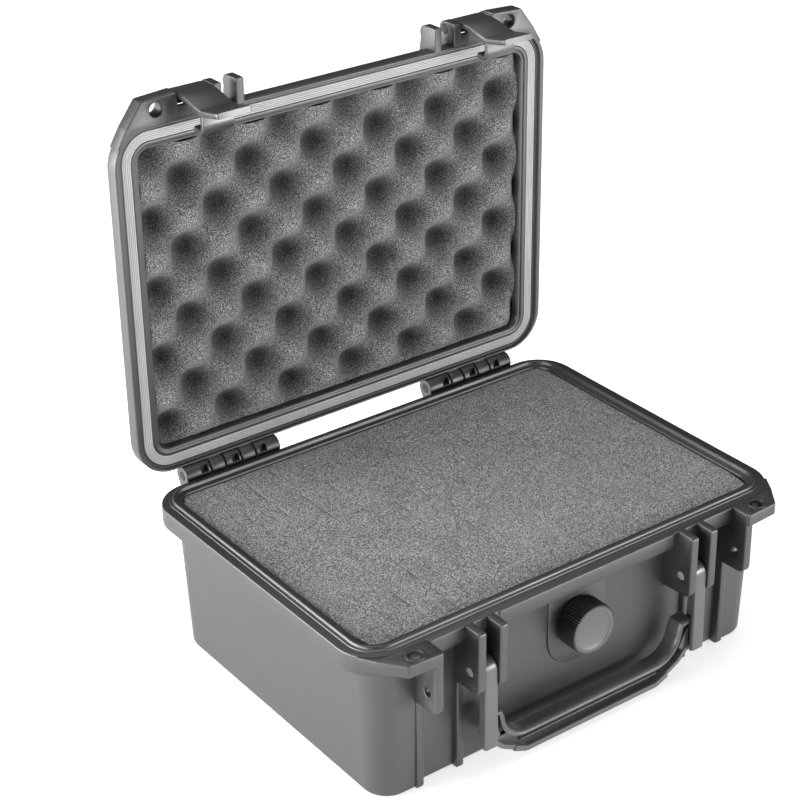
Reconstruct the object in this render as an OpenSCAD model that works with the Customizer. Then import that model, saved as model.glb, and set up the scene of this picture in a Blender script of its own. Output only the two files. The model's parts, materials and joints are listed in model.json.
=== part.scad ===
// Hard equipment case with a hinged lid, two hook latches, a carrying handle,
// a pressure valve and foam inserts. Millimetres, +Z up, front towards -Y.
// The origin is the middle of the underside. The lid stands open at a right angle.

/* [Case] */
// Width of the sealing line, side to side
seal_w = 222; // [180:1:300]
// Depth of the sealing line, front to back
seal_d = 157; // [125:1:220]
// Height of the base, from its underside to the parting plane
base_h = 77; // [60:1:120]
// Height of the lid above the parting plane
lid_h = 30; // [24:1:60]
// Thickness of the moulded walls
wall = 3; // [2:0.2:4]
// How far each end wall leans in on its way down
draft_x = 3.2; // [0:0.1:5]
// How far the front and rear walls lean in on their way down
draft_y = 0.8; // [0:0.1:2]

/* [Rim] */
// How far the flanges reach out past the sealing line
flange_out = 6.5; // [5:0.5:9]
// Height of the base's flange
flange_h = 9.5; // [7:0.5:12]
// Height of the lid's flange
lid_flange_h = 7; // [6.6:0.2:10]
// Outer corner radius of the flanges
flange_r = 18; // [14:1:26]
// How far the base's cavity stays inside the sealing line
cavity_in = 3.6; // [3:0.2:6]
// How far the lid's cavity stays inside the sealing line
lid_cavity_in = 6; // [5:0.2:8]
// Width of the raised sealing ridge on the base
ridge_w = 1.6; // [1:0.2:2.4]
// Height of the raised sealing ridge
ridge_h = 2.2; // [1:0.2:2.6]
// Width of the gasket groove in the lid
groove_w = 5; // [4:0.2:6]
// Depth of the step inside the lid's outer rim
rim_step = 2; // [1:0.2:3]
// Depth of the gasket groove below that step
groove_depth = 3.6; // [2.6:0.2:4]
// Gap between the two flanges when the case is shut
parting_gap = 0.3; // [0.2:0.1:0.6]

/* [Hinges] */
// Distance from the sealing line's end to the middle of a hinge
hinge_inset = 40.8; // [34:0.2:50]
// Length of one hinge
hinge_l = 51.2; // [44:0.4:60]
// Distance of the hinge axis behind the sealing line
hinge_back = 9.8; // [9.6:0.1:12]
// Height of the hinge axis above the parting plane
hinge_rise = 0.6; // [0:0.2:1.6]
// Outer radius of the hinge knuckles
knuckle_r = 4.8; // [4:0.2:5.4]
// Diameter of the hinge, latch and handle pins
pin_d = 4; // [3:0.2:4.6]
// Radial clearance of the pins in their bores
pin_fit = 0.05; // [0.02:0.01:0.1]

/* [Latches and ears] */
// Distance from the sealing line's end to the middle of a latch
latch_inset = 35; // [32:0.5:45]
// Width of a latch
latch_w = 17.2; // [12:0.2:22]
// Gap on each side of a moving piece between its ears
side_gap = 0.4; // [0.3:0.1:0.8]
// Thickness of an ear
ear_t = 4; // [3:0.2:5]
// How far the ears stand out in front of the sealing line
ear_out = 16; // [15:0.5:20]
// Height of the base ears
ear_h = 31; // [29:0.5:34]
// Diameter of the padlock holes
padlock_d = 6.4; // [5:0.2:7.5]
// Thickness of a padlock lug
lug_t = 6; // [4:0.5:8]

/* [Handle] */
// Thickness of a handle arm
arm_t = 6.5; // [5:0.25:9]
// Depth of the grip, front to back
grip_d = 9; // [7:0.5:11]
// Height of the handle's lowest edge above the underside
grip_clear = 3; // [2:0.5:8]
// Wall thickness of the handle's ribs and plates
web_t = 2.6; // [2:0.2:3.4]

/* [Pressure valve] */
// Diameter of the valve knob
knob_d = 24; // [18:0.5:28]
// Length of the valve knob
knob_l = 12.6; // [10:0.2:14]
// Number of serrations round the knob
knob_teeth = 60; // [30:2:80]
// Depth of the valve's centre below the parting plane
knob_drop = 28; // [26:0.5:32]
// Diameter of the valve's threaded bush
bush_d = 10; // [8:0.5:12]

/* [Foam] */
// Thickness of the flat pad under the base foam
pad_h = 8; // [5:0.5:15]
// Depth of the base foam's top below the parting plane
foam_drop = 0.6; // [0:0.2:3]
// Clearance between the foam and the walls
foam_gap = 0.3; // [0.2:0.1:1]
// Gap between the lid foam and the base foam when the case is shut
foam_part = 1.8; // [1.2:0.2:4]

/* [Hidden] */
$fn = 64;
hull_fn = 32;

// Half sizes of the sealing line and the cavity's mouth
seal_hw = seal_w / 2;
seal_hd = seal_d / 2;
cavity_hw = seal_hw - cavity_in;
cavity_hd = seal_hd - cavity_in;
cavity_r = 8;
lid_cavity_hw = seal_hw - lid_cavity_in;
lid_cavity_hd = seal_hd - lid_cavity_in;
lid_cavity_r = 6;
seal_r = flange_r - flange_out;
wall_r = cavity_r + wall + 1;
bottom_r = 2.5;

// Flanges and front lip
flange_hw = seal_hw + flange_out;
flange_rear = seal_hd + flange_out - 1.5;
flange_front = seal_hd + flange_out - 1;
lip_front = flange_front + 1.5;
lip_h = flange_h - 3;
rim_half = 4;
flange_z = base_h - flange_h;
lid_z = base_h + parting_gap;
lid_top = base_h + lid_h;

// Hinge axis and knuckle layout
hinge_y = seal_hd + hinge_back;
hinge_z = base_h + hinge_rise;
relief_r = knuckle_r + 0.3;
hinge_x = seal_hw - hinge_inset;
pin_r = pin_d / 2;
bore_r = pin_r + pin_fit;
lid_knuckle_w = 7;
mid_knuckle_w = 8;
knuckle_gap = 0.8;
end_knuckle_w = (hinge_l - mid_knuckle_w - 2 * lid_knuckle_w - 4 * knuckle_gap) / 2;
lid_knuckle_x = mid_knuckle_w / 2 + knuckle_gap;
end_knuckle_x = lid_knuckle_x + lid_knuckle_w + knuckle_gap;
window_w = 4;
window_in = 1.6;
heel_gap = 0.3;

// Ears, counted from the outside in, and the slots between them
latch_x = seal_hw - latch_inset;
slot_half = latch_w / 2 + side_gap;
ear1_x = latch_x + slot_half;
ear2_x = latch_x - slot_half - ear_t;
arm_x = ear2_x - side_gap - arm_t;
ear3_x = arm_x - side_gap - ear_t;
ears = [ear1_x, ear2_x, ear3_x];
ear_front = seal_hd + ear_out;
ear_round = 3;
ear_z = base_h - ear_h;
rib_t = 3.6;
rib_out = 2;
corner_out = 2.6;
lip_half = ear3_x - 1.5;

// Padlock lugs
lug_hole_x = latch_x + 19.6;
lug_hole_y = seal_hd + 11.1;
lug_ring = 1.4;
lug_ring_h = 0.2;

// Latch pivot, above the parting plane in the lid's ears
latch_y = ear_front - 3.8;
latch_z = base_h + 8;
lobe_r = 3.8;
hub_r = 3.5;
latch_t = 2.6;
latch_face = latch_y + 2.2;
hook_z = flange_z - 0.4;

// Handle pivot and the heights of its grip
pivot_y = seal_hd + 9.8;
pivot_z = base_h - 22;
arm_r = 5;
arm_front = pivot_y + 6;
grip_front = pivot_y + 3.2;
grip_rear = grip_front - grip_d;
strip_z = grip_clear + 11.2;
opening_half = ear3_x - 0.5;
corner_r = 14;
keel_t = 2.8;
keel_z = grip_clear + keel_t / 2;
keel_half = arm_x - 18.6;
keel_tip = keel_half + 6.5;

// Pressure valve, on the front wall's recessed panel
valve_z = base_h - knob_drop;
panel_y = cavity_hd + wall - 1.2;
panel_half = 16;
boss_r = 12;
boss_in = 1.2;
collar_r = bush_d / 2 + 3;
seal_t = 1.2;
collar_t = 1.4;
bush_hole_r = bush_d / 2 + 0.2;
stub_r = bush_d / 2 - 1;
nut_af = bush_d + 6;
nut_t = 4;
knob_rear = panel_y + 0.6;
knob_front = knob_rear + knob_l;
knob_cup_r = collar_r + 0.6;
knob_cup = 3.4;

shell_color = [0.16, 0.16, 0.17];
foam_color = [0.32, 0.32, 0.33];
seal_color = [0.55, 0.55, 0.55];
steel_color = [0.7, 0.7, 0.72];
brass_color = [0.72, 0.6, 0.3];

// ---- helpers ----

// Points of an arc, from angle a0 to angle a1
function arc(cx, cy, r, a0, a1, n = 8) =
    [for (i = [0:n]) let (a = a0 + (a1 - a0) * i / n) [cx + r * cos(a), cy + r * sin(a)]];

// Outline of a band of constant thickness that follows a line of points
function unit(v) = v / norm(v);
function side(p, i) =
    let (a = p[max(i - 1, 0)], b = p[min(i + 1, len(p) - 1)], d = unit(b - a))
    [-d[1], d[0]];
function band(p, t) = concat(
    [for (i = [0:len(p) - 1]) p[i] + side(p, i) * t / 2],
    [for (i = [len(p) - 1:-1:0]) p[i] - side(p, i) * t / 2]);

// Rounded rectangle centred on the origin
module rounded(hw, hd, r) {
    square([2 * (hw - r), 2 * hd], center = true);
    square([2 * hw, 2 * (hd - r)], center = true);
    for (x = [-1, 1], y = [-1, 1])
        translate([x * (hw - r), y * (hd - r)]) circle(r);
}

// Extrudes an outline drawn in Y and Z along X
module along_x(x0, x1) {
    translate([x0, 0, 0]) rotate([90, 0, 90]) linear_extrude(x1 - x0) children();
}

// Extrudes an outline drawn in X and Z backwards from y0 to y1
module along_y(y0, y1) {
    translate([0, y1, 0]) rotate([90, 0, 0]) linear_extrude(y1 - y0) children();
}

module rod_x(x0, x1, y, z, r) {
    translate([x0, y, z]) rotate([0, 90, 0]) cylinder(r = r, h = x1 - x0);
}

// Round bar along Y from y0 to y1
module rod_y(y0, y1, x, z, r) {
    translate([x, y1, z]) rotate([90, 0, 0]) cylinder(r = r, h = y1 - y0);
}

module both_sides() {
    children();
    mirror([1, 0, 0]) children();
}

// Turns the lid's pieces from the shut position to the open one
module opened() {
    translate([0, hinge_y, hinge_z]) rotate([-90, 0, 0])
        translate([0, -hinge_y, -hinge_z]) children();
}

// Tub with leaning sides and a rounded foot, from z0 up to z1
module tub(hw, hd, r, z0, z1, foot) {
    hull() for (x = [-1, 1], y = [-1, 1]) {
        translate([x * (hw - r), y * (hd - r), z1 - 1])
            cylinder(r = r, h = 1, $fn = hull_fn);
        translate([x * (hw - draft_x - r), y * (hd - draft_y - r), z0])
            rotate_extrude($fn = hull_fn) polygon(concat(
                [[0, 0]], arc(r - foot, foot, foot, -90, 0, 5), [[0, foot]]));
    }
}

// ---- rim pieces shared by the base and the lid ----

module flange(z0, z1) {
    translate([0, (flange_rear - flange_front) / 2, z0]) linear_extrude(z1 - z0)
        rounded(flange_hw, (flange_rear + flange_front) / 2, flange_r);
}

// Ring that follows the sealing line
module seal_ring(half, z0, z1) {
    translate([0, 0, z0]) linear_extrude(z1 - z0) difference() {
        rounded(seal_hw + half, seal_hd + half, seal_r + half);
        rounded(seal_hw - half, seal_hd - half, seal_r - half);
    }
}

module lugs(z0) {
    both_sides() translate([0, 0, z0]) linear_extrude(lug_t) polygon([
        [ear1_x, -flange_front + 4], [ear1_x, -ear_front - 1],
        [lug_hole_x + 7, -ear_front], [lug_hole_x + 15, -flange_front],
        [flange_hw - 2, -flange_front + 8], [flange_hw - 8, -flange_front + 12]]);
}

module lug_holes(z0) {
    both_sides() translate([lug_hole_x, -lug_hole_y, z0 - 1])
        cylinder(d = padlock_d, h = lug_t + 2);
}

// Raised ring round each padlock hole, on the face at z
module lug_rings(z, up) {
    both_sides() translate([lug_hole_x, -lug_hole_y, up ? z : z - lug_ring_h]) difference() {
        cylinder(r = padlock_d / 2 + lug_ring, h = lug_ring_h);
        translate([0, 0, -1]) cylinder(d = padlock_d, h = 3);
    }
}

// ---- base ----

module base_ears() {
    both_sides() for (x = ears) along_x(x, x + ear_t) polygon(concat(
        [[-cavity_hd - 1, base_h], [-cavity_hd - 1, ear_z - 3]],
        arc(-ear_front + ear_round, ear_z + ear_round, ear_round, 270, 180, 6),
        arc(-ear_front + 1, base_h - 1, 1, 180, 90, 3)));
}

// Upright rib under an ear, with a rounded foot
module base_rib(x, out) {
    foot = cavity_hd + wall + out;
    along_x(x + (ear_t - rib_t) / 2, x + (ear_t + rib_t) / 2) polygon(concat(
        [[-cavity_hd, ear_z + 2], [-cavity_hd, 0]],
        arc(-foot + rib_t, rib_t, rib_t, 270, 180, 6), [[-foot, ear_z + 2]]));
}

// Thicker front corners, flush outside the outer ears
module base_corners() {
    both_sides() intersection() {
        translate([0, -corner_out, 0])
            tub(cavity_hw + wall, cavity_hd + wall, wall_r, 0, base_h - 1, bottom_r);
        translate([ear1_x + 1, -seal_d, 0]) cube([seal_w, seal_d, base_h - 1]);
    }
}

module base_knuckle(x0, w) {
    rod_x(x0, x0 + w, hinge_y, hinge_z, knuckle_r);
    along_x(x0, x0 + w) polygon([
        [flange_rear - 1, flange_z + 1], [flange_rear - 1, base_h - 0.4],
        [hinge_y - knuckle_r + 0.4, base_h - 0.2], [hinge_y, hinge_z],
        [hinge_y + knuckle_r - 0.1, hinge_z], [hinge_y + 2, hinge_z - knuckle_r]]);
}

// Opening in a base knuckle's upper front that shows the pin
module base_window(x0) {
    translate([x0, hinge_y - knuckle_r - 1, hinge_z + window_in])
        cube([window_w, knuckle_r - 0.5, knuckle_r]);
}

// Room for the turning knuckles in the edge of a flange
module hinge_relief() {
    both_sides() rod_x(hinge_x - hinge_l / 2 - knuckle_gap, hinge_x + hinge_l / 2 + knuckle_gap,
        hinge_y, hinge_z, relief_r);
}

module base_hinges() {
    for (s = [-1, 1]) translate([s * hinge_x, 0, 0]) difference() {
        union() {
            base_knuckle(-hinge_l / 2, end_knuckle_w);
            base_knuckle(-mid_knuckle_w / 2, mid_knuckle_w);
            base_knuckle(end_knuckle_x, end_knuckle_w);
        }
        base_window(-hinge_l / 2 + end_knuckle_w - window_w - 1.5);
        base_window(mid_knuckle_w / 2 - window_w - 1);
        base_window(end_knuckle_x + 2.5);
        rod_x(-hinge_l / 2 - 1, hinge_l / 2 + 1, hinge_y, hinge_z, bore_r);
    }
}

module base_shell() color(shell_color) {
    front = cavity_hd + wall;
    difference() {
        union() {
            tub(cavity_hw + wall, front, wall_r, 0, base_h - 1, bottom_r);
            flange(flange_z, base_h);
            lugs(base_h - lug_t);
            lug_rings(base_h, true);
            // front lip, proud of the flange
            translate([-ear1_x - 1, -lip_front, base_h - lip_h])
                cube([2 * ear1_x + 2, 4, lip_h]);
            translate([-lip_half, -lip_front - 0.5, base_h - lip_h])
                cube([2 * lip_half, 3, lip_h]);
            seal_ring(ridge_w / 2, base_h - 1, base_h + ridge_h);
            base_ears();
            both_sides() base_rib(ear1_x, corner_out + 0.4);
            both_sides() base_rib(ear2_x, rib_out);
            base_corners();
        }
        hinge_relief();
        tub(cavity_hw, cavity_hd, cavity_r, wall, base_h + 1, 3);
        // recessed panel behind the valve, with a round foot
        along_y(-front - 1, -panel_y) union() {
            translate([-panel_half, valve_z - 6])
                square([2 * panel_half, base_h - lip_h - valve_z - 1]);
            translate([0, valve_z - 6]) circle(panel_half);
        }
        rod_y(-front - 4, -cavity_hd + 4, 0, valve_z, bush_hole_r);
        lug_holes(base_h - lug_t);
        both_sides() rod_x(ear3_x - 1, ear1_x + ear_t + 1, -pivot_y, pivot_z, bore_r);
    }
    base_hinges();
    // flat seat for the valve's nut
    difference() {
        rod_y(-cavity_hd - 0.6, -cavity_hd + draft_y + boss_in, 0, valve_z, boss_r);
        rod_y(-front - 4, -cavity_hd + 4, 0, valve_z, bush_hole_r);
    }
}

module base_foam_pad() color(foam_color) {
    tub_slice(wall + foam_gap, wall + pad_h);
}

module base_foam_pluck() color(foam_color) difference() {
    tub_slice(wall + pad_h + 0.2, base_h - foam_drop);
    rod_y(-cavity_hd - 1, -cavity_hd + nut_t + 6, 0, valve_z, boss_r + 1);
}

// Slice of the base's cavity, less the foam's clearance
module tub_slice(z0, z1) {
    intersection() {
        tub(cavity_hw - foam_gap, cavity_hd - foam_gap, cavity_r, wall + foam_gap, base_h + 1, 3);
        translate([-seal_w, -seal_d, z0]) cube([2 * seal_w, 2 * seal_d, z1 - z0]);
    }
}

// ---- lid, drawn shut and then opened ----

module lid_ear(x, back) {
    along_x(x, x + ear_t) polygon(concat(
        [[-flange_front + 2, lid_z], [-ear_front, lid_z]],
        arc(-latch_y, latch_z, lobe_r, 180, 60, 8),
        [[-flange_front + back, latch_z + lobe_r + 1]],
        [[-flange_front + 6, latch_z + 2]]));
}

// Two ribs on the lid's flange that an idle latch lies on
module latch_rests() {
    rest_y = latch_face - latch_t / 2 - heel_gap;
    both_sides() for (x = [latch_x - latch_w / 4, latch_x + latch_w / 4])
        translate([x - 1, -rest_y, lid_z]) cube([2, rest_y - flange_front + 2, 2.4]);
}

module lid_knuckle(x0) {
    rod_x(x0, x0 + lid_knuckle_w, hinge_y, hinge_z, knuckle_r);
    along_x(x0, x0 + lid_knuckle_w) polygon([
        [flange_rear - 1, lid_z + 0.2], [flange_rear - 1, lid_z + lid_flange_h - 1],
        [hinge_y + knuckle_r * 0.6, hinge_z + knuckle_r * 0.8], [hinge_y, hinge_z]]);
    // heel that meets the base's flange when the lid is fully open
    translate([x0, hinge_y, flange_rear - hinge_y + hinge_z + heel_gap])
        cube([lid_knuckle_w, knuckle_r * 0.9, hinge_y - flange_rear - heel_gap]);
}

module lid_hinges() {
    for (s = [-1, 1]) translate([s * hinge_x, 0, 0]) difference() {
        union() {
            lid_knuckle(lid_knuckle_x);
            lid_knuckle(-lid_knuckle_x - lid_knuckle_w);
        }
        for (x = [lid_knuckle_x, -lid_knuckle_x - lid_knuckle_w])
            translate([x + lid_knuckle_w - window_w - 1, hinge_y + window_in, hinge_z - 8])
                cube([window_w, 8, 7]);
        rod_x(-hinge_l / 2, hinge_l / 2, hinge_y, hinge_z, bore_r);
    }
}

// Dome of the lid: a tub turned upside down over the flange
module dome(hw, hd, r, z_top, z_mouth, foot) {
    translate([0, 0, z_top]) mirror([0, 0, 1]) tub(hw, hd, r, 0, z_top - z_mouth, foot);
}

module lid_shell() color(shell_color) opened() {
    difference() {
        union() {
            dome(lid_cavity_hw + wall, lid_cavity_hd + wall, lid_cavity_r + wall,
                lid_top, lid_z + 2, 6);
            flange(lid_z, lid_z + lid_flange_h);
            lugs(lid_z);
            lug_rings(lid_z + lug_t + lug_ring_h, false);
            latch_rests();
            both_sides() for (x = ears) lid_ear(x, 3);
        }
        hinge_relief();
        dome(lid_cavity_hw, lid_cavity_hd, lid_cavity_r, lid_top - wall, lid_z - 2, 4);
        seal_ring(groove_w / 2, lid_z - 1, lid_z + rim_step + groove_depth);
        // step inside the outer rim
        translate([0, 0, lid_z - 1]) linear_extrude(rim_step + 1)
            rounded(seal_hw + rim_half, seal_hd + rim_half, seal_r + rim_half);
        lug_holes(lid_z);
        both_sides() rod_x(ear2_x - 1, ear1_x + ear_t + 1, -latch_y, latch_z, bore_r);
    }
    lid_hinges();
}

module lid_gasket() color(seal_color) opened() {
    seal_ring(groove_w / 2 - 0.6, base_h + ridge_h + 0.2, lid_z + rim_step + groove_depth - 0.05);
}

module lid_foam() color(foam_color) opened() intersection() {
    dome(lid_cavity_hw - foam_gap, lid_cavity_hd - foam_gap, lid_cavity_r,
        lid_top - wall - foam_gap, lid_z - 2, 4);
    translate([-seal_w, -seal_d, base_h - foam_drop + foam_part])
        cube([2 * seal_w, 2 * seal_d, lid_h]);
}

// ---- pins ----

module pin(x0, x1, y, z) {
    color(steel_color) rod_x(x0, x1, y, z, pin_r);
}

module hinge_pin_right() pin(hinge_x - hinge_l / 2, hinge_x + hinge_l / 2, hinge_y, hinge_z);
module hinge_pin_left() mirror([1, 0, 0]) hinge_pin_right();
module latch_pin_right() opened() pin(ear2_x, ear1_x + ear_t, -latch_y, latch_z);
module latch_pin_left() mirror([1, 0, 0]) latch_pin_right();
module handle_pin_right() pin(ear3_x + 0.5, ear2_x + ear_t - 0.5, -pivot_y, pivot_z);
module handle_pin_left() mirror([1, 0, 0]) handle_pin_right();

// ---- latch ----

module latch_right() color(shell_color) opened() {
    x0 = latch_x - latch_w / 2;
    x1 = latch_x + latch_w / 2;
    y0 = latch_face;
    plate = [[-y0, latch_z + 1], [-y0, base_h - 3], [-y0 + 2, base_h - 13],
        [-y0 + 2.6, base_h - 17], [-y0 + 2, base_h - 21], [-y0 + 0.2, base_h - 30.5]];
    hook_r = 4;
    hook = concat([[-y0 + 2.5, base_h - 16.5]],
        arc(-flange_front - 0.4, hook_z - 2.6, hook_r, 250, 330, 6),
        [[-flange_front + 2.3, hook_z]]);
    difference() {
        union() {
            rod_x(x0, x1, -latch_y, latch_z, hub_r);
            along_x(x0, x1) polygon(band(plate, latch_t));
            along_x(x0, x1) polygon(band(hook, 2.2));
        }
        rod_x(0, seal_w, -latch_y, latch_z, bore_r);
    }
}

module latch_left() mirror([1, 0, 0]) latch_right();

// ---- handle, hanging ----

module arm() {
    rod_x(arm_x, arm_x + arm_t, -pivot_y, pivot_z, arm_r);
    along_x(arm_x, arm_x + arm_t) polygon([
        [-pivot_y - arm_r + 0.2, pivot_z + 1], [-arm_front, strip_z + 8],
        [-arm_front, strip_z + 3], [-grip_rear, strip_z + 1],
        [-grip_rear, strip_z + 10], [-pivot_y + arm_r - 1, strip_z + 22],
        [-pivot_y + arm_r - 0.2, pivot_z - 1]]);
}

module handle() color(shell_color) difference() {
    inner = arm_x + 0.5;
    strip = concat([[-inner, strip_z + 16]], [[-opening_half, strip_z + 15]],
        arc(-opening_half + corner_r, strip_z + corner_r - 1, corner_r, 185, 265, 8),
        arc(opening_half - corner_r, strip_z + corner_r - 1, corner_r, 275, 355, 8),
        [[opening_half, strip_z + 15]], [[inner, strip_z + 16]]);
    keel = [[-keel_tip, keel_z + keel_t], [-keel_half, keel_z],
        [keel_half, keel_z], [keel_tip, keel_z + keel_t]];
    sole = [[arm_x + 1, strip_z + 4], [arm_x - 6, strip_z - 3.4], [keel_tip - 1, keel_z + keel_t]];
    union() {
        both_sides() arm();
        along_y(-grip_front, -grip_rear) polygon(band(strip, web_t));
        along_y(-grip_front, -grip_rear - 1) polygon(band(keel, keel_t));
        both_sides() along_y(-grip_front + 0.5, -grip_rear - 1) polygon(band(sole, web_t));
        // upright web between the strip and the keel, set back from both edges
        along_y(-grip_front + 4.5, -grip_front + 7) polygon([
            [-arm_x - 1, strip_z + 4], [-arm_x + 6, strip_z - 3.4],
            [-keel_tip, keel_z + keel_t], [-keel_half, keel_z],
            [keel_half, keel_z], [keel_tip, keel_z + keel_t],
            [arm_x - 6, strip_z - 3.4], [arm_x + 1, strip_z + 4],
            [arm_x + 1, strip_z + 14], [opening_half, strip_z + 12],
            [opening_half - 6, strip_z + 3], [opening_half - 14, strip_z - 1],
            [-opening_half + 14, strip_z - 1], [-opening_half + 6, strip_z + 3],
            [-opening_half, strip_z + 12], [-arm_x - 1, strip_z + 14]]);
    }
    both_sides() rod_x(arm_x - 1, arm_x + arm_t + 1, -pivot_y, pivot_z, bore_r);
}

// ---- pressure valve ----

module purge_bush() color(brass_color) difference() {
    union() {
        rod_y(-panel_y, -cavity_hd + nut_t + 4, 0, valve_z, bush_d / 2);
        rod_y(-panel_y - seal_t - collar_t, -panel_y - seal_t, 0, valve_z, collar_r);
        rod_y(-panel_y - seal_t - 1, -panel_y, 0, valve_z, bush_d / 2);
        rod_y(-knob_front + 4, -panel_y - seal_t, 0, valve_z, stub_r);
    }
    rod_y(-knob_front, 0, 0, valve_z, 1.2);
}

module purge_seal() color("black") difference() {
    rod_y(-panel_y - seal_t + 0.05, -panel_y - 0.05, 0, valve_z, collar_r - 0.5);
    rod_y(-panel_y - seal_t - 1, -panel_y + 1, 0, valve_z, bush_d / 2 + 0.1);
}

module purge_nut() color(brass_color) {
    y = -cavity_hd + draft_y + boss_in + 0.05;
    difference() {
        translate([0, y + nut_t, valve_z]) rotate([90, 0, 0])
            cylinder(d = nut_af / cos(30), h = nut_t, $fn = 6);
        rod_y(y - 1, y + nut_t + 1, 0, valve_z, bush_d / 2 + 0.05);
    }
}

module knob_seal() color("black") {
    y = -knob_rear - knob_cup;
    difference() {
        rod_y(y - 1.4, y - 0.05, 0, valve_z, stub_r + 2.2);
        rod_y(y - 2, y + 1, 0, valve_z, stub_r + 0.1);
    }
}

module purge_knob() color(shell_color) {
    ring = [for (i = [0:2 * knob_teeth - 1])
        let (a = 180 * i / knob_teeth, r = knob_d / 2 - (i % 2) * 0.7) [r * cos(a), r * sin(a)]];
    cup = -knob_rear - knob_cup;
    difference() {
        translate([0, 0, valve_z]) along_y(-knob_front, -knob_rear) polygon(ring);
        rod_y(cup, 0, 0, valve_z, knob_cup_r);
        rod_y(cup - 1.45, 0, 0, valve_z, stub_r + 2.25);
        rod_y(-knob_front + 3.6, 0, 0, valve_z, stub_r + 0.1);
        rod_y(-knob_front - 1, -knob_front + 0.5, 0, valve_z, knob_d / 2 - 2.6);
    }
}

base_shell();
base_foam_pad();
base_foam_pluck();
lid_shell();
lid_gasket();
lid_foam();
hinge_pin_left();
hinge_pin_right();
latch_left();
latch_right();
latch_pin_left();
latch_pin_right();
handle();
handle_pin_left();
handle_pin_right();
purge_bush();
purge_nut();
purge_seal();
knob_seal();
purge_knob();
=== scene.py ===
"""Looks of the hard equipment case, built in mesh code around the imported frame. Lengths in mm."""
import json
import math
import bmesh
import bpy
from mathutils import Matrix, Vector, noise
from mathutils.geometry import tessellate_polygon


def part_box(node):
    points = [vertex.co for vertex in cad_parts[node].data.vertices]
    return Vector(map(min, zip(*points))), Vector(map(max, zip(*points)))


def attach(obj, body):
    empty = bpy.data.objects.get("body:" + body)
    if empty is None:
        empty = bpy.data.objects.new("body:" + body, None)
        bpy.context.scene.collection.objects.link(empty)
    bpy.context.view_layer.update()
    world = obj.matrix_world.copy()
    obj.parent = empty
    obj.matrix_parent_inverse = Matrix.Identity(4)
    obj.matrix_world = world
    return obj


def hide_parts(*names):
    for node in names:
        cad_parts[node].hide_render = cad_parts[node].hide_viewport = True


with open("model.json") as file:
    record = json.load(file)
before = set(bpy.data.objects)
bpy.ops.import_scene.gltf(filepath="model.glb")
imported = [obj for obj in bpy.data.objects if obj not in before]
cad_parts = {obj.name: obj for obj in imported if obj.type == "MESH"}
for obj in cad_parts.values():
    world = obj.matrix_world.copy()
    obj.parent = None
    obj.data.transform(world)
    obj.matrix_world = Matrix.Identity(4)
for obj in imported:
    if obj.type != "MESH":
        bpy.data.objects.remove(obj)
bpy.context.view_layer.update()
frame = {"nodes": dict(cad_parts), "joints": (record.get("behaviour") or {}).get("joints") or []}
MM = 0.001
CLEAR = 0.03        # keeps faces of overlapping mouldings from lying in one plane

# ---- places, from the frame ----

JOINTS = {j["name"]: [v / MM for v in j["pos_m"]] for j in frame["joints"]}


def box_mm(node):
    low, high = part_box(node)
    return [v / MM for v in low], [v / MM for v in high]


GASKET_W = 3.8
gasket_lo, gasket_hi = box_mm("lid_gasket")
pluck_lo, pluck_hi = box_mm("base_foam_pluck")
shell_hi = box_mm("base_shell")[1]
pad_lo, pad_hi = box_mm("base_foam_pad")
lid_foam_lo, lid_foam_hi = box_mm("lid_foam")
knob_lo, knob_hi = box_mm("purge_knob")

HINGE_Y, HINGE_Z = JOINTS["lid_hinge"][1:]
PIVOT_Y, PIVOT_Z = -JOINTS["handle_hinge"][1], JOINTS["handle_hinge"][2]
VALVE_Z = JOINTS["knob_turn"][2]
LATCH_X = JOINTS["latch_right_pivot"][0]
SEAL_X = gasket_hi[0] - GASKET_W / 2
SEAL_Y = (gasket_hi[2] - gasket_lo[2]) / 2 - GASKET_W / 2
SEAL_R = 11.5
BASE_H = pluck_hi[2] + 0.6
FLANGE_X = shell_hi[0]
FLANGE_FRONT = SEAL_Y + 5.5
FLANGE_REAR = SEAL_Y + 5
FLANGE_R = 18
FLANGE_Z = BASE_H - 9.5
WALL_X = SEAL_X - 0.6
WALL_Y = SEAL_Y - 0.6
WALL_R = 12
CAVITY_X = SEAL_X - 3.6
CAVITY_Y = SEAL_Y - 3.6
CAVITY_R = 8
CORNER_OUT = 2.6
DRAFT_X, DRAFT_Y = 3.2, 0.8
LID_Z = BASE_H + 0.3
LID_TOP = BASE_H + 30
EAR_T = 4
EAR_X = [LATCH_X + 9, LATCH_X - 13, LATCH_X - 24.3]
EAR_FRONT = SEAL_Y + 16
BORE_R = 2.05
PAD_Y = -WALL_Y - 0.4       # face of the raised pad behind the valve knob
BUSH_R = 5.2                # hole for the valve's bush
SPLICE_X = 24.0             # the gasket's butt splice is at -SPLICE_X on the hinge side
LOBE = 3.8                  # radius of the lid's ears around the latch pins
LATCH_Y, LATCH_Z = EAR_FRONT - LOBE, BASE_H + 8
PLATE_FACE, PLATE_T = LATCH_Y + 2.2, 2.6
PADLOCK = (LATCH_X + 19.6, -SEAL_Y - 11.1)
PADLOCK_R, PADLOCK_RING_R = 3.2, 4.6
RING_H = 0.2
LUG_T = 6


def to_open(p):
    """Turns a point of the shut lid to where it is at rest, with the lid open."""
    x, y, z = p
    return x, HINGE_Y + z - HINGE_Z, HINGE_Z + HINGE_Y - y


def same(p):
    return p


# ---- materials ----

def nodes_of(name):
    material = bpy.data.materials.new(name)
    material.use_nodes = True
    tree = material.node_tree
    return material, tree, tree.nodes["Principled BSDF"]


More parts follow.
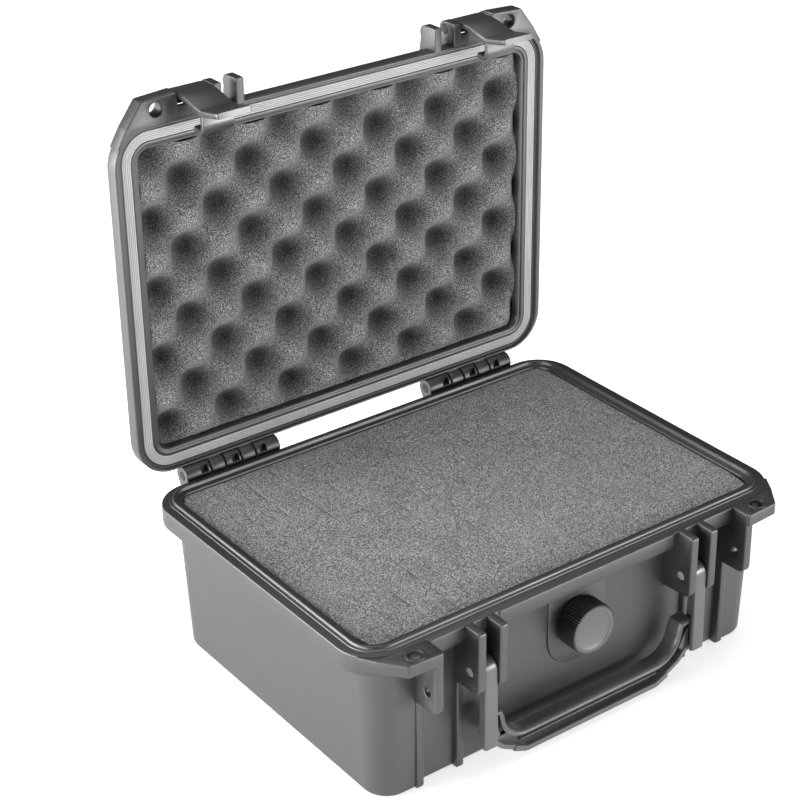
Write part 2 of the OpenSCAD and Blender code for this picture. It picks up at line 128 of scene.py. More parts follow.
def add_noise(tree, scale, detail=2.0, rough=0.5, kind="ShaderNodeTexNoise"):
    coords = tree.nodes.get("Texture Coordinate") or tree.nodes.new("ShaderNodeTexCoord")
    tex = tree.nodes.new(kind)
    tex.inputs["Scale"].default_value = scale
    if kind == "ShaderNodeTexNoise":
        tex.inputs["Detail"].default_value = detail
        tex.inputs["Roughness"].default_value = rough
    tree.links.new(coords.outputs["Object"], tex.inputs["Vector"])
    return tex


def ramp(tree, source, stops):
    node = tree.nodes.new("ShaderNodeValToRGB")
    line = node.color_ramp
    while len(line.elements) < len(stops):
        line.elements.new(0.5)
    for element, (place, value) in zip(line.elements, stops):
        element.position = place
        colour = value if isinstance(value, tuple) else (value,) * 3
        element.color = (*colour, 1)
    tree.links.new(source, node.inputs["Fac"])
    return node.outputs["Color"]


def multiply(tree, fac, a, b):
    node = tree.nodes.new("ShaderNodeMix")
    node.data_type = "RGBA"
    node.blend_type = "MULTIPLY"
    node.inputs[0].default_value = fac
    tree.links.new(a, node.inputs[6])
    tree.links.new(b, node.inputs[7])
    return node.outputs[2]


def bump(tree, shader, height, strength, distance):
    node = tree.nodes.new("ShaderNodeBump")
    node.inputs["Strength"].default_value = strength
    node.inputs["Distance"].default_value = distance
    tree.links.new(height, node.inputs["Height"])
    tree.links.new(node.outputs["Normal"], shader.inputs["Normal"])


def plastic(name, colour, rough):
    """Moulded polymer: a fine spark-eroded grain, slow colour drift and uneven gloss."""
    material, tree, shader = nodes_of(name)
    drift = add_noise(tree, 26.0, 3.0)
    grit = add_noise(tree, 2600.0, 3.0, 0.65)
    low = tuple(c * 0.86 for c in colour)
    high = tuple(c * 1.14 for c in colour)
    slow = ramp(tree, drift.outputs["Fac"], [(0.3, low), (0.7, high)])
    fine = ramp(tree, grit.outputs["Fac"], [(0.32, 0.62), (0.5, 0.95), (0.72, 1.0)])
    tree.links.new(multiply(tree, 0.75, slow, fine), shader.inputs["Base Color"])
    gloss = ramp(tree, drift.outputs["Fac"], [(0.3, rough - 0.05), (0.7, rough + 0.06)])
    tree.links.new(gloss, shader.inputs["Roughness"])
    shader.inputs["Specular IOR Level"].default_value = 1.0
    bump(tree, shader, grit.outputs["Fac"], 0.25, 0.0002)
    return material


def foam(name, dark, mid, light, strength, painted_shade_span=None):
    """Open-cell foam: dark cell mouths, pale cell walls and a slow mottling; a depth span adds
    painted shade towards the hollows.
    """
    material, tree, shader = nodes_of(name)
    cells = add_noise(tree, 2300.0, 3.0, 0.75)
    pores = add_noise(tree, 1300.0, kind="ShaderNodeTexVoronoi")
    slow = add_noise(tree, 55.0, 2.0)
    speckle = ramp(tree, cells.outputs["Fac"], [(0.4, dark), (0.5, mid), (0.62, light)])
    mouth = ramp(tree, pores.outputs["Distance"], [(0.1, 0.62), (0.55, 1.0)])
    mottle = ramp(tree, slow.outputs["Fac"], [(0.3, 0.88), (0.7, 1.06)])
    body = multiply(tree, 0.7, speckle, mouth)
    tone = multiply(tree, 0.8, body, mottle)
    if painted_shade_span:
        # painted shade: the colour darkens with depth towards the hollows of the convoluted foam,
        # standing in for the shade that falls there, and stays full on its crests
        split = tree.nodes.new("ShaderNodeSeparateXYZ")
        tree.links.new(tree.nodes["Texture Coordinate"].outputs["Object"], split.inputs[0])
        depth = tree.nodes.new("ShaderNodeMapRange")
        for socket, value in zip(("From Min", "From Max"), painted_shade_span):
            depth.inputs[socket].default_value = value * MM
        tree.links.new(split.outputs["Y"], depth.inputs["Value"])
        shade = ramp(tree, depth.outputs["Result"], [(0.0, 1.0), (0.4, 0.75), (1.0, 0.22)])
        tone = multiply(tree, 1.0, tone, shade)
    tree.links.new(tone, shader.inputs["Base Color"])
    shader.inputs["Roughness"].default_value = 0.95
    shader.inputs["Specular IOR Level"].default_value = 0.15
    shader.inputs["Sheen Weight"].default_value = 0.15
    shader.inputs["Sheen Roughness"].default_value = 0.6
    bump(tree, shader, cells.outputs["Fac"], strength, 0.0007)
    return material


def rubber(name, colour, rough):
    material, tree, shader = nodes_of(name)
    grain = add_noise(tree, 1400.0, 2.0)
    slow = add_noise(tree, 40.0, 2.0)
    tone = ramp(tree, slow.outputs["Fac"], [
        (0.3, tuple(c * 0.9 for c in colour)), (0.7, tuple(c * 1.08 for c in colour))])
    tree.links.new(tone, shader.inputs["Base Color"])
    gloss = ramp(tree, grain.outputs["Fac"], [(0.3, rough - 0.06), (0.7, rough + 0.08)])
    tree.links.new(gloss, shader.inputs["Roughness"])
    bump(tree, shader, grain.outputs["Fac"], 0.12, 0.0002)
    return material


def metal(name, colour, rough):
    """Ground metal with fine turning lines."""
    material, tree, shader = nodes_of(name)
    lines = add_noise(tree, 3500.0, 2.0)
    tone = ramp(tree, lines.outputs["Fac"], [
        (0.3, tuple(c * 0.85 for c in colour)), (0.7, colour)])
    tree.links.new(tone, shader.inputs["Base Color"])
    gloss = ramp(tree, lines.outputs["Fac"], [(0.3, rough - 0.06), (0.7, rough + 0.08)])
    tree.links.new(gloss, shader.inputs["Roughness"])
    shader.inputs["Metallic"].default_value = 1.0
    bump(tree, shader, lines.outputs["Fac"], 0.1, 0.0001)
    return material


CASE = plastic("case_plastic", (0.017, 0.0167, 0.0176), 0.44)
LATCH = plastic("latch_plastic", (0.04, 0.04, 0.0415), 0.36)
HANDLE = plastic("handle_plastic", (0.07, 0.0695, 0.072), 0.36)
KNOB = plastic("knob_plastic", (0.06, 0.06, 0.062), 0.46)
FOAM_BASE = foam("foam_base", 0.02, 0.17, 0.8, 0.7)
# the lid foam's colour carries painted shade, darker over its first 13 mm of depth into the hollows
FOAM_LID = foam("foam_lid", 0.02, 0.12, 0.62, 0.8,
                painted_shade_span=(lid_foam_lo[1], lid_foam_lo[1] + 13))
GASKET = rubber("gasket_rubber", (0.42, 0.42, 0.425), 0.42)
SEAL = rubber("seal_rubber", (0.02, 0.02, 0.02), 0.5)
STEEL = metal("pin_steel", (0.8, 0.8, 0.81), 0.5)
DARK_STEEL = metal("pin_blackened", (0.05, 0.05, 0.052), 0.4)
BRASS = metal("bush_brass", (0.72, 0.58, 0.3), 0.32)


# ---- mesh tools ----

def make(name, verts, faces, body, slot, material, angle=32.0, place=same):
    """Makes one piece from points in mm; place moves each point to where it rests."""
    mesh = bpy.data.meshes.new(name)
    mesh.from_pydata([Vector(place(v)) * MM for v in verts], [], faces)
    work = bmesh.new()
    work.from_mesh(mesh)
    bmesh.ops.remove_doubles(work, verts=work.verts, dist=2e-6)
    bmesh.ops.recalc_face_normals(work, faces=work.faces)
    work.to_mesh(mesh)
    work.free()
    mesh.shade_smooth()
    mesh.set_sharp_from_angle(angle=math.radians(angle))
    mesh.materials.append(material)
    obj = bpy.data.objects.new(name, mesh)
    bpy.context.scene.collection.objects.link(obj)
    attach(obj, body)
    return obj


class Parts:
    """Collects several closed shapes into one piece."""

    def __init__(self):
        self.verts, self.faces = [], []

    def add(self, shape, move=same):
        verts, faces = shape
        start = len(self.verts)
        self.verts += [move(v) for v in verts]
        self.faces += [tuple(i + start for i in f) for f in faces]
        return self

    def both(self, shape):
        """Adds a shape and its mirror image."""
        self.add(shape)
        verts, faces = shape
        return self.add(([(-x, y, z) for x, y, z in verts], [f[::-1] for f in faces]))

    def make(self, name, body, slot, material, **more):
        return make(name, self.verts, self.faces, body, slot, material, **more)


def arc(cx, cy, r, a0, a1, n=8):
    return [(cx + r * math.cos(math.radians(a0 + (a1 - a0) * i / n)),
             cy + r * math.sin(math.radians(a0 + (a1 - a0) * i / n))) for i in range(n + 1)]


def fillet(points, radii, n=6):
    """Rounds the corners of an outline; radii is one number or one for each corner."""
    radii = radii if isinstance(radii, (list, tuple)) else [radii] * len(points)
    out = []
    for i, r in enumerate(radii):
        p = Vector(points[i])
        a = Vector(points[i - 1]) - p
        b = Vector(points[(i + 1) % len(points)]) - p
        half = a.angle(b) / 2 if a.length and b.length else 0
        if r <= 0 or half < 0.05 or half > math.pi / 2 - 0.02:
            out.append(tuple(p))
            continue
        reach = min(r / math.tan(half), 0.48 * a.length, 0.48 * b.length)
        start, end = p + a.normalized() * reach, p + b.normalized() * reach
        for k in range(n + 1):
            t = k / n
            q = start * (1 - t) ** 2 + p * 2 * t * (1 - t) + end * t ** 2
            out.append(tuple(q))
    return out


def area(points):
    return sum(p[0] * q[1] - q[0] * p[1] for p, q in zip(points, points[1:] + points[:1])) / 2


def inset(points, d):
    """Moves each side of a counter-clockwise outline inwards by d."""
    out = []
    count = len(points)
    for i in range(count):
        p, q, r = Vector(points[i - 1]), Vector(points[i]), Vector(points[(i + 1) % count])
        a, b = (q - p), (r - q)
        if a.length < 1e-6 or b.length < 1e-6:
            out.append(tuple(q))
            continue
        a.normalize()
        b.normalize()
        normal = Vector((-a.y - b.y, a.x + b.x))
        if normal.length < 1e-6:
            out.append(tuple(q))
            continue
        normal.normalize()
        scale = max(0.35, normal.dot(Vector((-a.y, a.x))))
        out.append(tuple(q + normal * d / scale))
    return out


def circle(cx, cy, r, n):
    return [(cx + r * math.cos(2 * math.pi * i / n), cy + r * math.sin(2 * math.pi * i / n))
            for i in range(n)]


def quarter(steps, first=0):
    """Sine and cosine of the angles from 0 to 90 degrees, for a rounded edge."""
    angles = [math.radians(90 * i / steps) for i in range(first, steps + 1)]
    return [(math.sin(a), math.cos(a)) for a in angles]


EASE = [(1.0, 0.0), (0.45, 0.15), (0.15, 0.45), (0.0, 1.0)]


def prism(outline, t0, t1, place, bevel=0.5, holes=()):
    """Plate of a flat outline from t0 to t1, with eased edges and through holes.
    place turns (u, v, t) into a point."""
    points = list(outline)
    if area(points) < 0:
        points.reverse()
    outlines = [points] + [list(h)[::-1] if area(list(h)) > 0 else list(h) for h in holes]
    rings, verts, faces = [], [], []
    for ring in outlines:
        layers = []
        for side in (0, 1):
            steps = EASE if side == 0 else EASE[::-1]
            for cut, rise in steps:
                t = t0 + rise * bevel if side == 0 else t1 - rise * bevel
                start = len(verts)
                verts += [place((u, v, t)) for u, v in inset(ring, cut * bevel)]
                layers.append(start)
        count = len(ring)
        for a, b in zip(layers, layers[1:]):
            faces += [(a + i, a + (i + 1) % count, b + (i + 1) % count, b + i)
                      for i in range(count)]
        rings.append((layers[0], layers[-1], count, inset(ring, bevel)))
    flat = [[Vector((u, v, 0)) for u, v in r[3]] for r in rings]
    for which in (0, 1):
        index = [r[which] + i for r in rings for i in range(r[2])]
        for tri in tessellate_polygon(flat):
            faces.append(tuple(index[i] for i in (tri if which == 0 else tri[::-1])))
    return verts, faces


def along_x(p):
    u, v, t = p
    return t, u, v


def along_y(p):
    u, v, t = p
    return u, t, v


def along_z(p):
    return p


def skin(rings, closed=False):
    """Joins rings of equal length; closed joins the last ring to the first, without caps."""
    count = len(rings[0])
    verts = [p for r in rings for p in r]
    faces = []
    for k in range(len(rings) - 1):
        a, b = k * count, (k + 1) * count
        faces += [(a + i, a + (i + 1) % count, b + (i + 1) % count, b + i)
                  for i in range(count)]
    last = (len(rings) - 1) * count
    if closed:
        faces += [(last + i, last + (i + 1) % count, (i + 1) % count, i) for i in range(count)]
    else:
        faces += [tuple(range(count))[::-1], tuple(range(last, last + count))]
    return verts, faces


def sweep(path, section):
    """Carries a section of (y, height) points along a path in X and Z."""
    rings = []
    for i, (x, z) in enumerate(path):
        ax, az = path[max(i - 1, 0)]
        bx, bz = path[min(i + 1, len(path) - 1)]
        along = Vector((bx - ax, bz - az)).normalized()
        up = Vector((-along.y, along.x))
        rings.append([(x + up.x * h, y, z + up.y * h) for y, h in section])
    return skin(rings)


FRONT_X = EAR_X[0] + 1
STEPS = [(-0.35, 0.0), (-0.1, 0.08), (0.12, 0.92), (0.4, 1.0)]


def ring(hx, front, rear, r, z, step=0.0, seg=12):
    """Rounded rectangle; step sets the front back between the two thick corners."""
    points = arc(-hx + r, -front + r, r, 180, 270, seg)
    points += [(-FRONT_X + dx, -front + step * s) for dx, s in STEPS]
    points += [(FRONT_X - dx, -front + step * s) for dx, s in STEPS[::-1]]
    points += arc(hx - r, -front + r, r, 270, 360, seg)
    points += arc(hx - r, rear - r, r, 0, 90, seg)
    for x in (SPLICE_X, -SPLICE_X):
        points += [(x + d, rear) for d in (0.5, 0.15, -0.15, -0.5)]
    points += arc(-hx + r, rear - r, r, 90, 180, seg)
    return [(x, y, z) for x, y in points]


def seal(s, z):
    """Ring that keeps the distance s outside the sealing line."""
    return ring(SEAL_X + s, SEAL_Y + s, SEAL_Y + s, SEAL_R + s, z)


def flange(inside, z):
    return ring(FLANGE_X - inside, FLANGE_FRONT - inside, FLANGE_REAR - inside,
                FLANGE_R - inside, z)


def cut(obj, verts, faces):
    """Takes a closed shape out of a piece."""
    mesh = bpy.data.meshes.new("cutter")
    mesh.from_pydata([Vector(v) * MM for v in verts], [], faces)
    work = bmesh.new()
    work.from_mesh(mesh)
    bmesh.ops.remove_doubles(work, verts=work.verts, dist=1e-7)
    bmesh.ops.recalc_face_normals(work, faces=work.faces)
    work.to_mesh(mesh)
    work.free()
    cutter = bpy.data.objects.new("cutter", mesh)
    bpy.context.scene.collection.objects.link(cutter)
    modifier = obj.modifiers.new("cut", "BOOLEAN")
    modifier.object = cutter
    modifier.operation = "DIFFERENCE"
    modifier.solver = "EXACT"
    bpy.context.view_layer.update()
    result = bpy.data.meshes.new_from_object(obj.evaluated_get(
        bpy.context.evaluated_depsgraph_get()))
    obj.modifiers.remove(modifier)
    bpy.data.objects.remove(cutter)
    old, obj.data = obj.data, result
    bpy.data.meshes.remove(old)
    result.shade_smooth()
    result.set_sharp_from_angle(angle=math.radians(32))


# ---- base ----

def base_wall(inset_by, z):
    """Outer wall of the base at height z; it leans in on its way down."""
    rise = z / BASE_H - 1
    return ring(WALL_X + DRAFT_X * rise - inset_by,
                WALL_Y + CORNER_OUT + DRAFT_Y * rise - inset_by,
                WALL_Y + DRAFT_Y * rise - inset_by,
                max(WALL_R - inset_by, 1), z, step=CORNER_OUT)


def base_cavity(inset_by, z):
    rise = z / BASE_H - 1
    return ring(CAVITY_X + DRAFT_X * rise - inset_by, CAVITY_Y + DRAFT_Y * rise - inset_by,
                CAVITY_Y + DRAFT_Y * rise - inset_by, max(CAVITY_R - inset_by, 1), z)


def build_base():
    foot, under, edge = 2.5, 1.2, 0.8
    rings = [base_wall(foot * (1 - s), foot * (1 - c)) for s, c in quarter(6)]
    rings += [base_wall(0, z) for z in (16, 32, 48, FLANGE_Z - under)]
    rings += [base_wall(-under * (1 - c), FLANGE_Z - under * (1 - s)) for s, c in quarter(4, 1)]
    rings += [flange(edge * (1 - s), FLANGE_Z + edge * (1 - c)) for s, c in quarter(4)]
    rings += [flange(edge * (1 - c), BASE_H - edge * (1 - s)) for s, c in quarter(4)]
    top = [(2.7, 0), (2.45, 0.04), (2.3, 0.32), (2.1, 0.4), (1.2, 0.4), (0.95, 0.5), (0.8, 1.0),
           (0.5, 1.42), (0.15, 1.58), (-0.2, 1.56), (-0.5, 1.36), (-0.75, 0.8), (-0.9, 0.1),
           (-1.2, -0.02), (-3.1, -0.02), (-3.45, -0.12), (-3.6, -0.5)]
    rings += [seal(s, BASE_H + h) for s, h in top]
    rings += [base_cavity(0, z) for z in (BASE_H - 2, 40, 6)]
    rings += [base_cavity(3 * (1 - c), 6 - 3 * s) for s, c in quarter(5, 1)]
    verts, faces = skin(rings)
    tub = make("base_tub", verts, faces, "base", "case_plastic", CASE)
    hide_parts("base_shell")
    cut(tub, *prism(circle(0, VALVE_Z, BUSH_R, 40), -WALL_Y - 6, -CAVITY_Y + 6, along_y, 0.01))


def ear(x, outline, hole):
    return prism(outline, x, x + EAR_T, along_x, 0.55, [circle(*hole, BORE_R, 28)])


def lug_outline(hole):
    """Padlock lug seen from above; its inner side follows the flange's rounded corner."""
    side = EAR_X[0] + 0.6
    outer = fillet([(side, -FLANGE_FRONT + 1.1), (side, -EAR_FRONT - 1), (hole[0] + 7, -EAR_FRONT),
                    (hole[0] + 15, -FLANGE_FRONT), (FLANGE_X - 2, -FLANGE_FRONT + 8)],
                   [0, 0.8, 1.5, 3, 0], 5)
    return outer + arc(FLANGE_X - FLANGE_R, -FLANGE_FRONT + FLANGE_R, FLANGE_R - 1.1, -35, -90, 8)


def build_base_front():
    rear = -WALL_Y + 2.4
    ear_z = BASE_H - 31
    parts = Parts()
    top = BASE_H - 4 * CLEAR
    outline = [(rear, top), (rear, ear_z - 3), (-WALL_Y - 1, ear_z - 0.6),
               (-EAR_FRONT, ear_z), (-EAR_FRONT, top)]
    outline = fillet(outline, [0, 0, 0, 4, 1.6], 7)
    for x in EAR_X:
        parts.both(ear(x, outline, (-PIVOT_Y, PIVOT_Z)))
    for x, out in ((EAR_X[0], CORNER_OUT + 0.5), (EAR_X[1], 2.0)):
        front = -WALL_Y - out
        rib = fillet([(rear, ear_z + 2), (rear, 0), (front, 0), (front, ear_z + 2)],
                     [0, 0, 3.6, 0], 7)
        parts.both(prism(rib, x + 0.25, x + 3.75, along_x, 0.7))
    # padlock lugs with their holes and raised rings
    lug = lug_outline(PADLOCK)
    hole = circle(*PADLOCK, PADLOCK_R, 40)
    rim = circle(*PADLOCK, PADLOCK_RING_R, 48)
    parts.both(prism(lug, BASE_H - LUG_T, BASE_H - CLEAR, along_z, 0.6, [hole]))
    parts.both(prism(rim, BASE_H - 0.6, BASE_H + RING_H, along_z, 0.18, [hole]))
    # front lips, proud of the flange
    for half, front, drop in ((EAR_X[0] + 1, FLANGE_FRONT + 1.5, 2 * CLEAR),
                              (EAR_X[2] - 1.5, FLANGE_FRONT + 2, 3 * CLEAR)):
        lip = fillet([(-half, -FLANGE_FRONT + 3), (-half, -front), (half, -front),
                      (half, -FLANGE_FRONT + 3)], [0, 2.2, 2.2, 0], 6)
        parts.add(prism(lip, BASE_H - 6.5, BASE_H - drop, along_z, 0.6))
    # low pad with a round foot behind the valve knob
    pad = arc(0, VALVE_Z - 6, 16, 180, 360, 28)
    pad += [(16, FLANGE_Z - 0.5), (-16, FLANGE_Z - 0.5)]
    parts.add(prism(pad, PAD_Y, -WALL_Y + 1.4, along_y, 0.3, [circle(0, VALVE_Z, BUSH_R, 40)]))
    parts.make("base_front", "base", "case_plastic", CASE)


KNUCKLE_R = 4.8
KNUCKLE_GAP = 0.8
HINGE_L = 51.2
MID_W, LID_W = 8, 7
HINGE_X = SEAL_X - 40.8
END_W = (HINGE_L - MID_W - 2 * LID_W - 4 * KNUCKLE_GAP) / 2


def window(x, y, z, w, d, h):
    """Box for a small window in a knuckle."""
    return prism([(x, y), (x + w, y), (x + w, y + d), (x, y + d)], z, z + h, along_z, 0.05)


def build_hinges():
    body = [(FLANGE_REAR - 1, FLANGE_Z + 1), (FLANGE_REAR - 1, BASE_H - 0.5),
            (HINGE_Y - KNUCKLE_R + 0.35, BASE_H - 0.3)]
    body += arc(HINGE_Y, HINGE_Z, KNUCKLE_R, 182, -8, 26)
    body += [(HINGE_Y + 2.6, HINGE_Z - KNUCKLE_R - 0.3)]
    hole = circle(HINGE_Y, HINGE_Z, BORE_R, 28)
    lid = [(FLANGE_REAR - 1, LID_Z + 0.3), (FLANGE_REAR - 1, LID_Z + 6)]
    lid += arc(HINGE_Y, HINGE_Z, KNUCKLE_R, 62, -178, 30)
    for side in (-1, 1):
        middle = side * HINGE_X
        name = "right" if side > 0 else "left"
        spans = [(-HINGE_L / 2, END_W), (-MID_W / 2, MID_W), (HINGE_L / 2 - END_W, END_W)]
        parts = Parts()
        for x, w in spans:
            parts.add(prism(body, middle + x, middle + x + w, along_x, 0.45, [hole]))
        obj = parts.make("base_hinge_" + name, "base", "case_plastic", CASE)
        for x in (-HINGE_L / 2 + END_W - 5.2, MID_W / 2 - 5, HINGE_L / 2 - END_W + 1.6):
            cut(obj, *window(middle + x, HINGE_Y - 7, HINGE_Z + 0.9, 4, 5.2, 3))
        parts = Parts()
        for x in (MID_W / 2 + KNUCKLE_GAP, -MID_W / 2 - KNUCKLE_GAP - LID_W):
            parts.add(prism(lid, middle + x, middle + x + LID_W, along_x, 0.4, [hole]), to_open)
        obj = parts.make("lid_hinge_" + name, "lid", "case_plastic", CASE)
        for x in (MID_W / 2 + KNUCKLE_GAP, -MID_W / 2 - KNUCKLE_GAP - LID_W):
            cut(obj, *window(middle + x + 2.6, HINGE_Y - 7, HINGE_Z - 4.4, 3.6, 5.4, 3))


# ---- lid, drawn shut and turned open ----

LID_X, LID_Y, LID_R = SEAL_X - 6, SEAL_Y - 6, 6
RIM_STEP = 1.8
LID_FLANGE = 7


def lid_tub(out, z, rounding=0.0):
    lean = (z - LID_Z - 2) / (LID_TOP - LID_Z - 2)
    lean = max(lean, 0)
    return ring(LID_X + out - DRAFT_X * lean - rounding, LID_Y + out - DRAFT_Y * lean - rounding,
                LID_Y + out - DRAFT_Y * lean - rounding, max(LID_R + out - rounding, 1.2), z)


def build_lid():
    edge, crown = 0.7, 6
    rings = [lid_tub(3, LID_TOP - crown * (1 - c), crown * (1 - s)) for s, c in quarter(7)]
    flange_top = LID_Z + LID_FLANGE
    rings += [lid_tub(3, z) for z in (LID_TOP - 12, flange_top + 1)]
    rings += [lid_tub(3.4, flange_top + 0.3), lid_tub(4, flange_top)]
    rings += [flange(edge * (1 - s), flange_top - edge * (1 - c)) for s, c in quarter(4)]
    rings += [flange(edge * (1 - c), LID_Z + edge * (1 - s)) for s, c in quarter(4)]
    profile = [(4.25, 0), (4.05, 0.12), (3.95, 0.5), (3.9, RIM_STEP - 0.2), (3.7, RIM_STEP),
               (2.7, RIM_STEP), (2.5, RIM_STEP + 0.2), (2.45, 5.4), (-2.35, 5.4),
               (-2.4, RIM_STEP + 0.2), (-2.6, RIM_STEP - 0.05), (-2.9, RIM_STEP - 0.15),
               (-4.1, RIM_STEP - 0.15), (-4.4, RIM_STEP), (-4.5, RIM_STEP + 0.5),
               (-4.7, RIM_STEP + 0.6), (-5.6, RIM_STEP + 0.6), (-5.9, RIM_STEP + 0.9)]
    rings += [seal(s, LID_Z + h) for s, h in profile]
    roof = LID_TOP - 3
    rings += [lid_tub(0, z) for z in (LID_Z + 4, roof - 5)]
    rings += [lid_tub(0, roof - 5 + 5 * s, 5 * (1 - c)) for s, c in quarter(5, 1)]
    verts, faces = skin(rings)
    obj = make("lid_dome", verts, faces, "lid", "case_plastic", CASE, place=to_open)
    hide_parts("lid_shell")


def build_lid_front():
    parts = Parts()
    rear = -FLANGE_FRONT + 0.9
    low = LID_Z + 3 * CLEAR
    outline = [(rear, low), (-EAR_FRONT, low)]
    outline += arc(-LATCH_Y, LATCH_Z, LOBE, 180, 60, 10)
    outline += [(-FLANGE_FRONT + 3, LATCH_Z + LOBE + 1), (-FLANGE_FRONT + 8, LATCH_Z + 2)]
    for x in EAR_X[:2]:
        parts.both(ear(x, outline, (-LATCH_Y, LATCH_Z)))
    parts.both(prism(outline, EAR_X[2], EAR_X[2] + EAR_T, along_x, 0.55))
    lug = lug_outline(PADLOCK)
    top = LID_Z + LID_FLANGE
    hole = circle(*PADLOCK, PADLOCK_R, 40)
    rim = circle(*PADLOCK, PADLOCK_RING_R, 48)
    parts.both(prism(lug, LID_Z + CLEAR, top, along_z, 0.6, [hole]))
    parts.both(prism(rim, top - 0.6, top + RING_H, along_z, 0.18, [hole]))
    rest = PLATE_FACE - PLATE_T / 2 - 0.3
    for x in (LATCH_X - 4.3, LATCH_X + 4.3):
        rib = [(x - 1, -rest), (x + 1, -rest), (x + 1, rear), (x - 1, rear)]
        parts.both(prism(rib, LID_Z + CLEAR, LID_Z + 2.4, along_z, 0.3))
    shelf = [(EAR_X[1] + 1, -FLANGE_FRONT + 1), (EAR_X[1] + 1, -FLANGE_FRONT - 5),
             (EAR_X[0] + 3, -FLANGE_FRONT - 5), (EAR_X[0] + 3, -FLANGE_FRONT + 1)]
    parts.both(prism(shelf, LID_Z + 5 * CLEAR, LID_Z + 2.2, along_z, 0.4))
    parts.make("lid_front", "lid", "case_plastic", CASE, place=to_open)


def build_gasket():
    """Solid rubber ring with two moulded lines and a butt splice."""
    front, back = LID_Z + 1.6, LID_Z + 5.5
    half = 2.3
    section = [(half - 0.1, back), (half, front + 0.5), (half - 0.15, front + 0.15),
               (half - 0.4, front)]
    for line in (1.3, 0.45, -0.45, -1.3):
        section += [(line + 0.14, front), (line + 0.08, front + 0.35),
                    (line - 0.08, front + 0.35), (line - 0.14, front)]
    section += [(-half + 0.4, front), (-half + 0.15, front + 0.15), (-half, front + 0.5),
                (-half + 0.1, back)]
    rings = []
    for s, z in section:
        points = []
        for x, y, zz in seal(s, z):
            splice = y > 0 and abs(x + SPLICE_X) < 0.2 and z < front + 0.6
            points.append((x, y, zz + (0.35 if splice else 0)))
        rings.append(points)
    verts, faces = skin(rings, closed=True)
    obj = make("gasket", verts, faces, "lid", "gasket_rubber", GASKET, 28, place=to_open)
    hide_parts("lid_gasket")


# ---- foam ----

def rounded_grid(xs, ys, hx, hy, r):
    """Grid of points whose corners are drawn in to a radius."""
    out = []
    for y in ys:
        for x in xs:
            dx, dy = abs(x) - (hx - r), abs(y) - (hy - r)
            if dx > 0 and dy > 0:
                k = max(dx, dy) / math.hypot(dx, dy)
                out.append((math.copysign(hx - r + dx * k, x), math.copysign(hy - r + dy * k, y)))
            else:
                out.append((x, y))
    return out


def foam_block(name, xs, ys, hx, hy, r, height, bottom, lean, body, material, place, ease):
    """Block of foam with a shaped top; height gives the top at a point."""
    nx, ny = len(xs), len(ys)
    flat = rounded_grid(xs, ys, hx, hy, r)
    verts = [(x, y, height(x, y)) for x, y in flat]
    faces = [(j * nx + i, j * nx + i + 1, (j + 1) * nx + i + 1, (j + 1) * nx + i)
             for j in range(ny - 1) for i in range(nx - 1)]
    border = list(range(nx)) + [j * nx + nx - 1 for j in range(1, ny)]
    border += [(ny - 1) * nx + i for i in range(nx - 2, -1, -1)]
    border += [j * nx for j in range(ny - 2, 0, -1)]
    last = border
    sign = 1 if height(0, 0) > bottom else -1
    for depth, out in ((ease * 0.35, 0.12), (ease, 0.0), (None, lean)):
        start = len(verts)
        for i in border:
            x, y, z = verts[i]
            level = bottom if depth is None else z - sign * depth
            k = 1 - out / hx if depth is None else 1
            verts.append((x * k, y * k, level))
        fresh = list(range(start, start + len(border)))
        count = len(border)
        faces += [(last[i], last[(i + 1) % count], fresh[(i + 1) % count], fresh[i])
                  for i in range(count)]
        last = fresh
    verts.append((0, 0, bottom))
    faces += [(last[i], last[(i + 1) % count], len(verts) - 1) for i in range(count)]
    obj = make(name, verts, faces, body, "foam_grey", material, 50, place=place)
    return obj


def lines(half, pitch, groove, between):
    """Grid lines from -half to half: three at each score line and some in between."""
    out = {-half, half, -half + 0.35, half - 0.35, -half + 1.0, half - 1.0}
    count = int(half / pitch)
    for k in range(-count, count + 1):
        out |= {k * pitch - groove, k * pitch, k * pitch + groove}
        for m in range(1, between):
            if abs((k + m / between) * pitch) < half - 1.2:
                out.add((k + m / between) * pitch)
    return sorted(v for v in out if abs(v) <= half)


